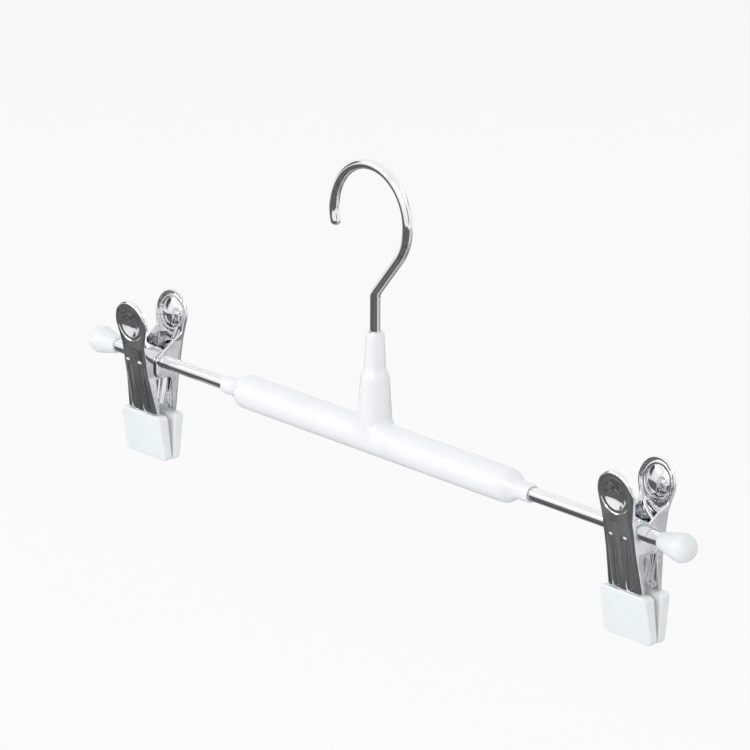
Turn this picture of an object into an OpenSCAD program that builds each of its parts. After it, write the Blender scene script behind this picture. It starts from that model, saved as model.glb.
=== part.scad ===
// Trouser hanger: a wire hook that swivels in a moulded T-shaped sleeve, a thin
// cross rod through the sleeve, and two sprung clips that slide and swing on the rod.
// The rod runs along X, the hook's curve lies in the XZ plane, and Z is up.
// The origin is the crown of the hook's inner curve, by which the hanger hangs.

/* [Cross rod and end knobs] */
// Diameter of the cross rod
rod_d = 5; // [4:0.1:6]
// Distance between the outer ends of the two knobs
overall_w = 322; // [290:1:420]
// Diameter of the ball of an end knob
knob_d = 10.4; // [9:0.1:14]
// Diameter of the knob's mouth, where the rod goes in
knob_mouth_d = 6.2; // [6:0.1:7]
// Length of a knob from its mouth to its outer end
knob_len = 15; // [13:0.1:20]
// Depth of the rod's blind hole in a knob
knob_bore_len = 11; // [8:0.1:12]

/* [Sleeve] */
// Diameter of the thick part of the sleeve
sleeve_d = 12.6; // [11.6:0.1:16]
// Length of the thick part of the sleeve
sleeve_thick_len = 142; // [100:1:150]
// Diameter of the sleeve's narrow ends
sleeve_end_d = 6.8; // [6.4:0.1:8]
// Length of the whole sleeve
sleeve_len = 165; // [162:1:172]
// Length of the shoulder between the thick part and a narrow end
sleeve_shoulder_len = 4.5; // [3:0.1:5.5]
// Height of the neck's top above the rod's axis
neck_top_z = 40; // [38:0.5:46]
// Diameter of the neck at its top
neck_top_d = 6.6; // [6:0.1:8]
// Diameter at the bottom of the neck's slim upper part
neck_slim_d = 7.8; // [7.2:0.1:9]
// Height of the neck's shoulder above the rod's axis
neck_shoulder_z = 26.4; // [25:0.1:30]
// Length of the neck's shoulder
neck_shoulder_len = 2.6; // [1.5:0.1:3.5]
// Diameter of the neck under its shoulder
neck_d = 10.3; // [9.8:0.1:12]
// Diameter of the neck where it meets the arm
neck_root_d = 12.2; // [11:0.1:12.4]
// Radius of the blend between the neck and the arm
neck_blend_r = 3.5; // [1.5:0.1:5]

/* [Hook] */
// Diameter of the hook's wire
wire_d = 3.8; // [3:0.1:4.2]
// Radius of the hook's curve, at the middle of the wire
hook_r = 19.5; // [17:0.1:24]
// Distance of the curve's centre from the neck's axis, away from the neck's lean
hook_offset = 2.5; // [0:0.1:5]
// Height of the curve's centre above the rod's axis
hook_centre_z = 82; // [78:0.5:92]
// Slope of the straight stretch between the neck and the curve
hook_slope = 50.5; // [46:0.5:56]
// Radius of the bend above the neck, at the middle of the wire
hook_bend_r = 5; // [4:0.1:7]
// Angle at which the curve's free end stops, from +X
hook_end_angle = 195; // [180:1:205]
// Diameter of the upset head that holds the hook in the neck
hook_head_d = 5.8; // [5:0.1:6.2]
// Thickness of the upset head
hook_head_len = 2; // [1.5:0.1:2.6]
// Height of the head's underside above the rod's axis
hook_head_z = 16; // [14:0.1:18]

/* [Clips] */
// Distance of the right clip's middle from the outer end of its knob
right_clip_inset = 27.5; // [25:0.5:40]
// Distance of the left clip's middle from the outer end of its knob
left_clip_inset = 35; // [25:0.5:40]
// Thickness of the clips' pressed sheet
sheet_t = 0.8; // [0.6:0.05:0.9]
// Diameter of the round lever head
head_d = 17.4; // [16.4:0.1:19]
// Height of the lever head's middle above the rod's axis
head_z = 15.7; // [15:0.1:18]
// Width at the rod of the jaw whose ears lie outside
outer_waist_w = 14.6; // [14.2:0.1:15.4]
// Width at the rod of the jaw whose ears lie inside
inner_waist_w = 12.6; // [12:0.1:12.6]
// Width of a jaw where it enters its tip
jaw_w = 16.6; // [15.8:0.1:18]
// Half the distance between the two levers' outer faces, at their tops
lever_gap = 12.1; // [11.5:0.1:13]
// Half the distance between the jaws' outer faces, at the bend over the rod
bend_gap = 9.85; // [9.4:0.05:10.2]
// Height of that bend above the rod's axis
bend_z = 6; // [5:0.1:6.5]
// Half the distance between the jaws' outer faces, at the top of the tips
jaw_gap = 5.3; // [5.1:0.05:5.6]
// Depth of the rim that is turned in round a lever head
rim_depth = 1.8; // [1.4:0.1:2.2]
// Diameter of the pressed thumb dish
dish_d = 12; // [10:0.1:12.6]
// Depth of the thumb dish
dish_depth = 2; // [1:0.1:2.2]
// Diameter of the coined ring round the dish
dish_ring_d = 14; // [13:0.1:14.6]
// Depth of the coined ring
dish_ring_depth = 0.3; // [0.2:0.05:0.4]
// Depth of the side flange of a jaw, at the top of a tip
leg_depth = 2; // [1.6:0.1:2.4]
// Half the width of the arch between the two jaws' flanges
arch_half_w = 3.5; // [3:0.1:4]
// Distance of the arch's top below the rod's axis
arch_z = 6.5; // [6:0.1:7.5]
// Reach of an ear past the rod's axis
ear_reach = 4; // [3.8:0.1:4.6]
// Height of an ear over the rod's axis
ear_over_z = 4.2; // [4:0.1:4.8]
// Height above the rod's axis at which an ear leaves the lever's rim
ear_top_z = 9.5; // [9:0.1:10]
// Height of the two beads pressed out of a jaw
bead_height = 0.6; // [0.4:0.05:0.7]
// Width of a bead
bead_w = 3.8; // [3:0.1:4]
// Distance between the two beads' middles
bead_pitch = 6.8; // [6.2:0.1:7.2]
// Height of a bead's upper end above the rod's axis
bead_top_z = 1; // [0:0.1:2]

/* [Soft tips] */
// Height of a tip
tip_h = 18; // [17:0.1:21]
// Distance of a tip's top below the rod's axis
tip_top_z = 20.5; // [20:0.1:22]
// Width of a tip at its top
tip_top_w = 22.3; // [20.6:0.1:24]
// Width of a tip at its bottom
tip_bottom_w = 24; // [21:0.1:26]
// Thickness of a tip at its top
tip_top_t = 4.7; // [4.4:0.1:5]
// Thickness of a tip at its bottom
tip_bottom_t = 3.2; // [3:0.1:3.6]
// Half the gap between the two tips at their tops
tip_top_gap = 1.6; // [1.4:0.05:1.9]
// Length of the sheet that is held inside a tip
tongue_len = 15.5; // [13:0.1:16]

/* [Springs] */
// Diameter of the spring wire
spring_wire_d = 1.2; // [0.9:0.05:1.3]
// Radius of the coil, at the middle of its wire
spring_r = 3.75; // [3.7:0.05:3.9]
// Distance between neighbouring turns
spring_pitch = 1.7; // [1.65:0.05:1.9]
// Whole turns of the coil, apart from the part turn between its legs
spring_turns = 4; // [2:1:4]
// Height above the rod's axis at which the leg on the outer-eared jaw ends
outer_leg_z = 11.5; // [10.5:0.1:12]
// Height above the rod's axis at which the leg on the inner-eared jaw ends
inner_leg_z = 8; // [7.5:0.1:9]
// Distance of both legs' ends from the clip's middle
leg_end_x = 4.6; // [3:0.1:4.7]

/* [Clearances] */
// Clearance round the rod in the ears' holes
ear_clearance = 0.08; // [0.03:0.01:0.1]
// Clearance round the hook's shank in the neck
shank_clearance = 0.06; // [0.03:0.01:0.1]
// Clearance round the hook's head in its chamber
head_clearance = 0.25; // [0.15:0.05:0.3]
// Clearance of pieces that are pushed onto each other
push_clearance = 0.02; // [0.01:0.01:0.05]
// Clearance round the sheet inside a tip
tongue_clearance = 0.1; // [0.05:0.01:0.15]
// Half the gap between the two tips where they meet
tip_meet_gap = 0.15; // [0.1:0.01:0.2]
// Gap between a spring's leg and its lever
leg_clearance = 0.3; // [0.2:0.05:0.4]
// Gap between the flanges' lower ends and the tip
flange_clearance = 0.15; // [0.1:0.01:0.3]

/* [Hidden] */
$fn = 64;

chrome = [0.78, 0.79, 0.81];
spring_steel = [0.62, 0.63, 0.66];
gloss_white = [0.96, 0.97, 0.97];
soft_white = [0.9, 0.93, 0.93];

// Cuts run past the faces that they open by this much
overrun = 1;
// Points along each rounded corner of an outline
corner_steps = 6;

// Rod and knobs
rod_r = rod_d / 2;
knob_mouth_x = overall_w / 2 - knob_len;
knob_bore_x = knob_mouth_x + knob_bore_len;
rod_end_gap = 0.3;
rod_len = 2 * (knob_bore_x - rod_end_gap);
knob_centre_x = overall_w / 2 - knob_d / 2;

// Sleeve
shoulder_r = 2;
neck_shoulder_r = 1.2;
oval_steps = 32;
// The blend runs this far into the neck and the arm
blend_bite = 0.1;
sleeve_edge_r = 0.3;

// Hook: the straight stretch is tangent to the curve and to the bend
wire_r = wire_d / 2;
tangent_angle = 90 - hook_slope;
hook_centre_x = -hook_offset;
tangent_x = hook_centre_x + hook_r * cos(tangent_angle);
tangent_z = hook_centre_z - hook_r * sin(tangent_angle);
corner_z = tangent_z - tangent_x * tan(hook_slope);
bend_tangent = hook_bend_r * tan(tangent_angle / 2);
slope_len = norm([tangent_x, tangent_z - corner_z]) - bend_tangent;
shank_top_z = corner_z - bend_tangent;
seat_x = hook_centre_x;
seat_z = hook_centre_z + hook_r - wire_r;

// The bent wire's flat-sided tube is a hair thinner, so that it ends inside the shank's face
wire_hair = 0.01;
bent_wire_r = wire_r - wire_hair;
hook_wire_sides = 24;
bend_steps = 5;
curve_steps = 32;
dome_steps = 4;
dome_angle = 84;

// Clip: distances from the rod's axis towards a jaw's outside are called out
jaw_slope_share = (bend_gap - jaw_gap) / (bend_z + tip_top_z);
head_slope_share = (lever_gap - bend_gap) / (head_z + head_d / 2 - bend_z);
function jaw_out(z) = z > bend_z ? bend_gap + (z - bend_z) * head_slope_share
    : bend_gap + (z - bend_z) * jaw_slope_share;
tongue_end_z = -tip_top_z - tongue_len;
flange_end_z = flange_clearance - tip_top_z;
bend_r = 12;
ear_corner_r = 2.8;
arch_corner_r = 1.6;
rim_corner_r = 2.5;
waist_top_z = 7;
waist_bottom_z = -5.5;
// The waist's sides end this far inside the round head
head_bite = 0.05;
bead_r = (bead_w * bead_w / 4 + bead_height * bead_height) / (2 * bead_height);
dish_r = (dish_d * dish_d / 4 + dish_depth * dish_depth) / (2 * dish_depth);

// Soft tips
tip_bottom_z = -tip_top_z - tip_h;
tip_edge_r = 1;
tip_inner_edge_r = 0.4;
tip_corner_r = 1.6;
tip_foot_r = 2.6;

// Springs
spring_wire_r = spring_wire_d / 2;
rings_per_turn = 8;
wire_sides = 6;
leg_straight_len = 4.5;
function leg_out(z) = jaw_out(z) - sheet_t - spring_wire_r - leg_clearance;
function leg_angle(z) = atan2(z, leg_out(z)) - acos(spring_r / norm([leg_out(z), z]));
coil_sweep = 360 * spring_turns + 180 + leg_angle(inner_leg_z) + leg_angle(outer_leg_z);
coil_len = spring_pitch * coil_sweep / 360;

// Points along an arc, from angle a to angle b
function arc(centre, r, a, b, steps = corner_steps) =
    [for (i = [0:steps]) let (t = a + (b - a) * i / steps) centre + r * [cos(t), sin(t)]];

// One corner of a path, rounded with an arc that is tangent to both sides
function round_corner(p, q, s, r) =
    let (
        u = (p - q) / norm(p - q),
        v = (s - q) / norm(s - q),
        half = acos(u * v) / 2,
        m = (u + v) / norm(u + v),
        centre = q + m * r / sin(half),
        d = q + u * r / tan(half) - centre,
        e = q + v * r / tan(half) - centre,
        a = atan2(d[1], d[0]),
        turn = atan2(d[0] * e[1] - d[1] * e[0], d * e)
    )
    arc(centre, r, a, a + turn);

// A closed outline: each entry is a corner and its radius, where 0 leaves it sharp
function rounded(corners) =
    let (n = len(corners))
    [for (i = [0:n - 1])
        let (q = corners[i])
        each q[1] == 0 ? [q[0]]
            : round_corner(corners[(i + n - 1) % n][0], q[0], corners[(i + 1) % n][0], q[1])];

// Faces of a tube of rings, one after the other, with a flat cap at each end
function tube_faces(rings, sides) =
    concat(
        [for (i = [0:rings - 2], k = [0:sides - 1])
            let (a = i * sides + k, b = i * sides + (k + 1) % sides)
            each [[a, a + sides, b + sides], [a, b + sides, b]]],
        [for (k = [1:sides - 2]) [0, k, k + 1]],
        [for (k = [1:sides - 2]) let (e = (rings - 1) * sides) [e, e + k + 1, e + k]]);

// Turns an outline of radii over a distance about the X axis, to both sides of the middle
module turned_both_ways() {
    for (side = [0, 1])
        mirror([side, 0, 0])
            rotate([0, 90, 0])
                rotate_extrude()
                    children();
}

// Draws an outline in the XZ plane and gives it a thickness along Y, centred
module across(depth) {
    rotate([90, 0, 0])
        linear_extrude(depth, center = true)
            children();
}

// Draws an outline in the YZ plane, its first axis along -Y, and gives it a width along X
module side_profile(width) {
    rotate([90, 0, -90])
        linear_extrude(width, center = true)
            children();
}

module rod_bore(r, length) {
    rotate([0, 90, 0])
        cylinder(r = r, h = length, center = true);
}

// Hook

// Stations along the bent wire: [x, z, heading from +X, radius of the wire]
hook_sweep = hook_end_angle + tangent_angle;
hook_tip = [hook_centre_x, hook_centre_z] + hook_r * [cos(hook_end_angle), sin(hook_end_angle)];
hook_tip_heading = hook_end_angle + 90;
hook_stations = concat(
    [for (i = [0:bend_steps])
        let (t = tangent_angle * i / bend_steps)
        [hook_bend_r * (1 - cos(t)), shank_top_z + hook_bend_r * sin(t), 90 - t, bent_wire_r]],
    [for (i = [0:curve_steps])
        let (a = hook_sweep * i / curve_steps - tangent_angle)
        [hook_centre_x + hook_r * cos(a), hook_centre_z + hook_r * sin(a), 90 + a, bent_wire_r]],
    [for (i = [1:dome_steps])
        let (
            q = dome_angle * i / dome_steps,
            p = hook_tip + wire_r * sin(q) * [cos(hook_tip_heading), sin(hook_tip_heading)]
        )
        [p[0], p[1], hook_tip_heading, bent_wire_r * cos(q)]]);

function hook_ring(station) =
    let (n = [sin(station[2]), 0, -cos(station[2])])
    [for (k = [0:hook_wire_sides - 1]) let (a = 360 * k / hook_wire_sides)
        [station[0], 0, station[1]] + station[3] * (cos(a) * n + sin(a) * [0, 1, 0])];

module hook() {
    color(chrome) {
        // Upset head and straight shank
        translate([0, 0, hook_head_z])
            cylinder(d = hook_head_d, h = hook_head_len);
        translate([0, 0, hook_head_z])
            cylinder(r = wire_r, h = shank_top_z - hook_head_z);
        // Bend, straight stretch, curve and domed end
        polyhedron(
            points = [for (station = hook_stations) each hook_ring(station)],
            faces = tube_faces(len(hook_stations), hook_wire_sides));
    }
}

// Sleeve

module arm_half_outline() {
    thick_x = sleeve_thick_len / 2;
    polygon(rounded([
        [[0, 0], 0],
        [[sleeve_d / 2, 0], 0],
        [[sleeve_d / 2, thick_x], shoulder_r],
        [[sleeve_end_d / 2, thick_x + sleeve_shoulder_len], shoulder_r / 2],
        [[sleeve_end_d / 2, sleeve_len / 2], sleeve_edge_r],
        [[0, sleeve_len / 2], 0]
    ]));
}

module arm() {
    turned_both_ways()
        arm_half_outline();
}

module neck() {
    rotate_extrude()
        polygon(rounded([
            [[0, 0], 0],
            [[neck_root_d / 2, 0], 0],
            [[neck_root_d / 2, sleeve_d / 2], shoulder_r],
            [[neck_d / 2, neck_shoulder_z - neck_shoulder_len], neck_shoulder_r],
            [[neck_slim_d / 2, neck_shoulder_z], neck_shoulder_r],
            [[neck_top_d / 2, neck_top_z], sleeve_edge_r],
            [[0, neck_top_z], 0]
        ]));
}

// The blend between the neck and the arm: a hollow flare about the arm, cut to an oval
module neck_blend() {
    arm_r = sleeve_d / 2;
    taper_share = (neck_root_d - neck_d) / 2 / (neck_shoulder_z - neck_shoulder_len - arm_r);
    foot = neck_root_d / 2 - neck_blend_r * taper_share;
    height = arm_r + neck_blend_r;
    reach = foot + neck_blend_r;
    intersection() {
        turned_both_ways()
            difference() {
                square([height, reach]);
                translate([height - blend_bite, reach - blend_bite])
                    circle(neck_blend_r);
            }
        linear_extrude(height)
            polygon([for (i = [1:oval_steps]) let (a = 360 * i / oval_steps)
                [reach * cos(a), foot * sin(a)]]);
    }
}

module hook_socket() {
    chamber_r = hook_head_d / 2 + head_clearance;
    translate([0, 0, hook_head_z - head_clearance])
        cylinder(r = chamber_r, h = hook_head_len + 2 * head_clearance);
    translate([0, 0, hook_head_z])
        cylinder(r = wire_r + shank_clearance, h = neck_top_z - hook_head_z + overrun);
}

module sleeve() {
    color(gloss_white)
        difference() {
            union() {
                arm();
                neck();
                neck_blend();
            }
            rod_bore(rod_r + push_clearance, sleeve_len + 2 * overrun);
            hook_socket();
        }
}

// Rod and knobs

module cross_rod() {
    color(chrome)
        rod_bore(rod_r, rod_len);
}

// A ball whose cone-shaped mouth is tangent to it
module end_knob() {
    mouth_r = knob_mouth_d / 2;
    ball_r = knob_d / 2;
    reach = knob_centre_x - knob_mouth_x;
    mouth_angle = atan2(mouth_r, -reach) - acos(ball_r / norm([reach, mouth_r]));
    color(soft_white)
        translate([knob_centre_x, 0, 0])
            difference() {
                rotate([0, 90, 0])
                    rotate_extrude()
                        intersection() {
                            translate([0, -knob_len])
                                square([ball_r, 2 * knob_len]);
                            union() {
                                circle(ball_r);
                                polygon([[0, -reach], [mouth_r, -reach],
                                    ball_r * [sin(mouth_angle), cos(mouth_angle)], [0, 0]]);
                            }
                        }
                translate([-reach - overrun, 0, 0])
                    rotate([0, 90, 0])
                        cylinder(r = rod_r + push_clearance, h = knob_bore_len + overrun);
            }
}

// Clip jaws: drawn with the outside facing -Y

// Front view of a jaw, drawn in by inset all round
module jaw_outline(waist_w, inset) {
    r = head_d / 2 - inset;
    waist = waist_w / 2 - inset;
    jaw = jaw_w / 2 - inset;
    rise = head_z - waist_top_z;
    touch = acos(r / norm([rise, waist])) - atan2(rise, waist);
    right = [
        [0, head_z] + (r - head_bite) * [cos(touch), sin(touch)],
        [waist, waist_top_z],
        [waist, waist_bottom_z],
        [jaw, -tip_top_z],
        [jaw, tongue_end_z]
    ];
    translate([0, head_z])
        circle(r);
    polygon(concat(right, [for (i = [len(right) - 1:-1:0]) [-right[i][0], right[i][1]]]));
}

// Side view of the sheet with its flanges, rim and ear
module jaw_side() {
    top_z = head_z + head_d / 2 + overrun;
    polygon(rounded([
        [[jaw_out(top_z), top_z], 0],
        [[bend_gap, bend_z], bend_r],
        [[jaw_out(tongue_end_z), tongue_end_z], 0],
        [[jaw_out(tongue_end_z) - sheet_t, tongue_end_z], 0],
        [[jaw_out(flange_end_z) - sheet_t, flange_end_z], 0],
        [[jaw_out(flange_end_z) - leg_depth, flange_end_z], 0],
        [[arch_half_w, -arch_z], arch_corner_r],
        [[-ear_reach, -arch_z], ear_corner_r],
        [[-ear_reach, ear_over_z - ear_reach * ear_slope_share()], ear_corner_r],
        [[jaw_out(ear_top_z) - rim_depth, ear_top_z], rim_corner_r],
        [[jaw_out(top_z) - rim_depth, top_z], 0]
    ]));
}

function ear_slope_share() = (ear_top_z - ear_over_z) / (jaw_out(ear_top_z) - rim_depth);

// Side view of the hollow behind the sheet
module jaw_hollow_side() {
    top_z = head_z + head_d / 2 + 2 * overrun;
    end_z = tongue_end_z - overrun;
    back = -ear_reach - overrun;
    polygon(rounded([
        [[jaw_out(top_z) - sheet_t, top_z], 0],
        [[bend_gap - sheet_t, bend_z], bend_r],
        [[jaw_out(end_z) - sheet_t, end_z], 0],
        [[back, end_z], 0],
        [[back, top_z], 0]
    ]));
}

module jaw_pan(waist_w) {
    full = 2 * (lever_gap + ear_reach);
    difference() {
        intersection() {
            across(full)
                jaw_outline(waist_w, 0);
            side_profile(head_d + overrun)
                jaw_side();
        }
        intersection() {
            across(full)
                jaw_outline(waist_w, sheet_t);
            side_profile(head_d + overrun)
                jaw_hollow_side();
        }
    }
}

// Places a form on the lever head's outer face: its Z axis points into the clip
module on_lever_head() {
    translate([0, -jaw_out(head_z), head_z])
        rotate([atan(head_slope_share) - 90, 0, 0])
            children();
}

module dish_shell() {
    on_lever_head()
        intersection() {
            translate([0, 0, dish_depth - dish_r])
                sphere(dish_r + sheet_t);
            translate([0, 0, sheet_t / 2])
                cylinder(d = dish_ring_d, h = 2 * dish_depth);
        }
}

module dish_cut() {
    on_lever_head() {
        translate([0, 0, dish_depth - dish_r])
            sphere(dish_r);
        translate([0, 0, -overrun])
            cylinder(d = dish_ring_d, h = overrun + dish_ring_depth);
    }
}

// Places a form on a jaw's outer face under the bend: Z runs down the face, Y into the clip
module on_jaw_face(x) {
    translate([x, -jaw_out(bead_top_z - bead_w / 2), bead_top_z - bead_w / 2])
        rotate([180 + atan(jaw_slope_share), 0, 0])
            mirror([0, 1, 0])
                children();
}

// A round-ended bar that lies in a jaw's face and rises out of it
module bead_bar(r) {
    translate([0, bead_r - bead_height, 0]) {
        cylinder(r = r, h = tip_top_z + bead_top_z);
        sphere(r);
    }
}

module beads() {
    for (side = [-1, 1])
        on_jaw_face(side * bead_pitch / 2)
            intersection() {
                bead_bar(bead_r);
                translate([-bead_w, -bead_r, -bead_w])
                    cube([2 * bead_w, bead_r + sheet_t / 2, tip_top_z + bead_top_z]);
            }
}

module bead_hollows() {
    for (side = [-1, 1])
        on_jaw_face(side * bead_pitch / 2)
            intersection() {
                bead_bar(bead_r - sheet_t);
                translate([-bead_w, -bead_r, -bead_w])
                    cube([2 * bead_w, bead_r + 1.5 * sheet_t, tip_top_z + bead_top_z + 2 * bead_w]);
            }
}

module jaw(waist_w) {
    tip_cut = tongue_len + tip_top_z;
    color(chrome)
        difference() {
            union() {
                jaw_pan(waist_w);
                dish_shell();
                difference() {
                    beads();
                    translate([-jaw_w / 2, -lever_gap, flange_end_z - tip_cut])
                        cube([jaw_w, lever_gap, tip_cut]);
                }
            }
            dish_cut();
            bead_hollows();
            rod_bore(rod_r + ear_clearance, waist_w + 2 * overrun);
        }
}

// Soft tips: drawn for such a jaw

module tip_side() {
    polygon(rounded([
        [[tip_top_gap, -tip_top_z], tip_inner_edge_r],
        [[tip_top_gap + tip_top_t, -tip_top_z], tip_edge_r],
        [[tip_meet_gap + tip_bottom_t, tip_bottom_z], tip_edge_r],
        [[tip_meet_gap, tip_bottom_z], tip_inner_edge_r]
    ]));
}

module tip_front() {
    polygon(rounded([
        [[-tip_top_w / 2, -tip_top_z], tip_corner_r],
        [[tip_top_w / 2, -tip_top_z], tip_corner_r],
        [[tip_bottom_w / 2, tip_bottom_z], tip_foot_r],
        [[-tip_bottom_w / 2, tip_bottom_z], tip_foot_r]
    ]));
}

module tongue_slot() {
    top_z = overrun - tip_top_z;
    end_z = tongue_end_z - tongue_clearance;
    out = tongue_clearance;
    inside = -sheet_t - tongue_clearance;
    side_profile(jaw_w + 2 * tongue_clearance)
        polygon([
            [jaw_out(top_z) + out, top_z],
            [jaw_out(end_z) + out, end_z],
            [jaw_out(end_z) + inside, end_z],
            [jaw_out(top_z) + inside, top_z]
        ]);
}

module soft_tip() {
    color(soft_white)
        difference() {
            intersection() {
                across(2 * lever_gap)
                    tip_front();
                side_profile(tip_bottom_w + overrun)
                    tip_side();
            }
            tongue_slot();
        }
}

// Springs: one wire that rests on the inner-eared lever, winds round the rod and rests on the other

// A leg from its end down to the coil, at first in line with the coil's end at x
function spring_leg(end_z, x) =
    let (
        touch = spring_r * [cos(leg_angle(end_z)), sin(leg_angle(end_z))],
        run = [leg_out(end_z), end_z] - touch,
        along = run / norm(run),
        lean = -leg_end_x - x
    )
    [for (q = [norm(run), norm(run) - spring_wire_d, leg_straight_len])
        let (p = touch + along * q)
        [x + lean * (q - leg_straight_len) / (norm(run) - leg_straight_len), p[0], p[1]]];

inner_leg = spring_leg(inner_leg_z, coil_len / 2);
outer_leg = spring_leg(outer_leg_z, -coil_len / 2);
coil_rings = round(coil_sweep / 360 * rings_per_turn);
coil = [for (i = [0:coil_rings])
    let (a = leg_angle(inner_leg_z) - coil_sweep * i / coil_rings)
    [coil_len / 2 - coil_len * i / coil_rings, spring_r * cos(a), spring_r * sin(a)]];
spring_path = concat(inner_leg, coil,
    [for (i = [len(outer_leg) - 1:-1:0]) [outer_leg[i][0], -outer_leg[i][1], outer_leg[i][2]]]);

// A ring of the wire's surface round one point of the path
function wire_ring(path, i) =
    let (
        last = len(path) - 1,
        d = path[min(i + 1, last)] - path[max(i - 1, 0)],
        t = d / norm(d),
        side = cross(t, [1, 0, 0]),
        n = side / norm(side),
        b = cross(t, n)
    )
    [for (k = [0:wire_sides - 1]) let (a = 360 * k / wire_sides)
        path[i] + spring_wire_r * (cos(a) * n + sin(a) * b)];

function wire_points(path) = [for (i = [0:len(path) - 1]) each wire_ring(path, i)];

// The least gap between stretches of the wire that lie half a turn or more apart
least_gap = min([for (i = [0:len(spring_path) - 1], j = [i + rings_per_turn / 2:1:len(spring_path) - 1])
    norm(spring_path[i] - spring_path[j]) - spring_wire_d]);
echo(spring_least_gap_to_itself = least_gap);

module clip_spring() {
    color(spring_steel)
        polyhedron(points = wire_points(spring_path), faces = tube_faces(len(spring_path), wire_sides));
}

// Places

module from_hook_seat() {
    translate([-seat_x, 0, -seat_z])
        children();
}

module at_right_clip() {
    translate([overall_w / 2 - right_clip_inset, 0, 0])
        children();
}

// The left clip is the same clip, turned half a turn
module at_left_clip() {
    translate([left_clip_inset - overall_w / 2, 0, 0])
        rotate([0, 0, 180])
            children();
}

module facing_other_way() {
    mirror([0, 1, 0])
        children();
}

module outer_jaw() {
    jaw(outer_waist_w);
}

module inner_jaw() {
    facing_other_way()
        jaw(inner_waist_w);
}

module outer_tip() {
    soft_tip();
}

module inner_tip() {
    facing_other_way()
        soft_tip();
}

module left_end_knob() {
    mirror([1, 0, 0])
        end_knob();
}

from_hook_seat() hook();
from_hook_seat() sleeve();
from_hook_seat() cross_rod();
from_hook_seat() left_end_knob();
from_hook_seat() end_knob();  // right_end_knob
from_hook_seat() at_left_clip() inner_jaw();  // left_clip_front_jaw
from_hook_seat() at_left_clip() outer_jaw();  // left_clip_back_jaw
from_hook_seat() at_left_clip() clip_spring();  // left_clip_spring
from_hook_seat() at_left_clip() inner_tip();  // left_clip_front_tip
from_hook_seat() at_left_clip() outer_tip();  // left_clip_back_tip
from_hook_seat() at_right_clip() outer_jaw();  // right_clip_front_jaw
from_hook_seat() at_right_clip() inner_jaw();  // right_clip_back_jaw
from_hook_seat() at_right_clip() clip_spring();  // right_clip_spring
from_hook_seat() at_right_clip() outer_tip();  // right_clip_front_tip
from_hook_seat() at_right_clip() inner_tip();  // right_clip_back_tip
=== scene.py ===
import math

import bmesh
import bpy
from mathutils import Matrix, Vector


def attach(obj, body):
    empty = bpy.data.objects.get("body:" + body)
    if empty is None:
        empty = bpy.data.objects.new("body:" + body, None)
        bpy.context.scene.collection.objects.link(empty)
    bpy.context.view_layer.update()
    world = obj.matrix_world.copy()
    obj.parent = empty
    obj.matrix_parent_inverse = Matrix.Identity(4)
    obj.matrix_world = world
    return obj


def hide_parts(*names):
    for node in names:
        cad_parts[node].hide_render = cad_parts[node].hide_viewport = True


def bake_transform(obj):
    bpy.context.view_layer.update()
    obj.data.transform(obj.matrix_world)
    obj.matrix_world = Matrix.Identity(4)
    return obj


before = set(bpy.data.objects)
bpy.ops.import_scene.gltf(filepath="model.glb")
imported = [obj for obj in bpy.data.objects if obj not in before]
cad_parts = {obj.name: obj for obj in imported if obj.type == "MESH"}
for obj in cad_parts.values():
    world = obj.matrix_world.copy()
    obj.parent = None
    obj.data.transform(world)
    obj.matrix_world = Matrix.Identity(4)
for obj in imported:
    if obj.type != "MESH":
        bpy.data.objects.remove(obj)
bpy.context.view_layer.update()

MM = 0.001

# Sizes in mm

# Frame: the origin is the crown of the hook's inner curve
NECK_X = 2.5
ROD_Z = -99.6
RIGHT_CLIP_X = 136.0
LEFT_CLIP_X = -123.5

# Cross rod and knobs
ROD_R = 2.5
ROD_HALF = 156.7
ROD_EDGE = 0.4
ROD_EDGE_TURNS = (30, 60, 90)
ROUND_SIDES = 64
KNOB_END_X = 161.0
KNOB_R = 5.2
KNOB_MOUTH_R = 3.1
KNOB_LEN = 15.0
KNOB_BORE = 11.0
KNOB_PLAY = 0.02
KNOB_BORE_END_R = 0.6
KNOB_EDGE, KNOB_FLARE = 0.3, 0.05
KNOB_LIP_R, KNOB_LIP_STEPS = 0.28, 4
KNOB_CONE_START, KNOB_CONE_STEPS, KNOB_CONE_FIRST_SHARE = 0.9, 5, 0.1
KNOB_POLE_ANGLE, KNOB_BALL_STEPS = 4, 22

# Hook, measured from the neck's axis and the rod's axis
WIRE_R = 1.87
WIRE_SIDES = 48
HOOK_R = 19.5
HOOK_CENTRE = (-2.5, 82.0)
HOOK_SLOPE = 50.5
HOOK_BEND_R = 5.0
HOOK_END = 195.0
HOOK_BEND_STEPS, HOOK_CURVE_STEPS = 8, 72
DOME_ANGLE, DOME_STEPS = 84, 7
# The upset head: height over its lower face, radius
HEAD_Z = 16.0
HEAD = [(0, 2.3), (0.25, 2.75), (0.7, 2.9), (1.3, 2.9), (1.75, 2.75), (2.0, 2.3), (2.0, WIRE_R)]

# Sleeve. The arm's half goes from beside the neck out to the end and back through the bore: place
# along the rod, radius. The neck goes up from the arm, down its bore and round the chamber that
# holds the hook's head: height over the rod, radius.
SLEEVE_SIDES = 32
ARM_R, ARM_BORE_R = 6.3, 2.52
HOLE_HALF_LEN, HOLE_HALF_ANGLE = 9.2, 67
HOLE_ROUND_STEPS, HOLE_ROUND_PULL, HOLE_ROUND_POWER, HOLE_SIDE_PULL = 6, 3.3, 2.2, 0.22
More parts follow.
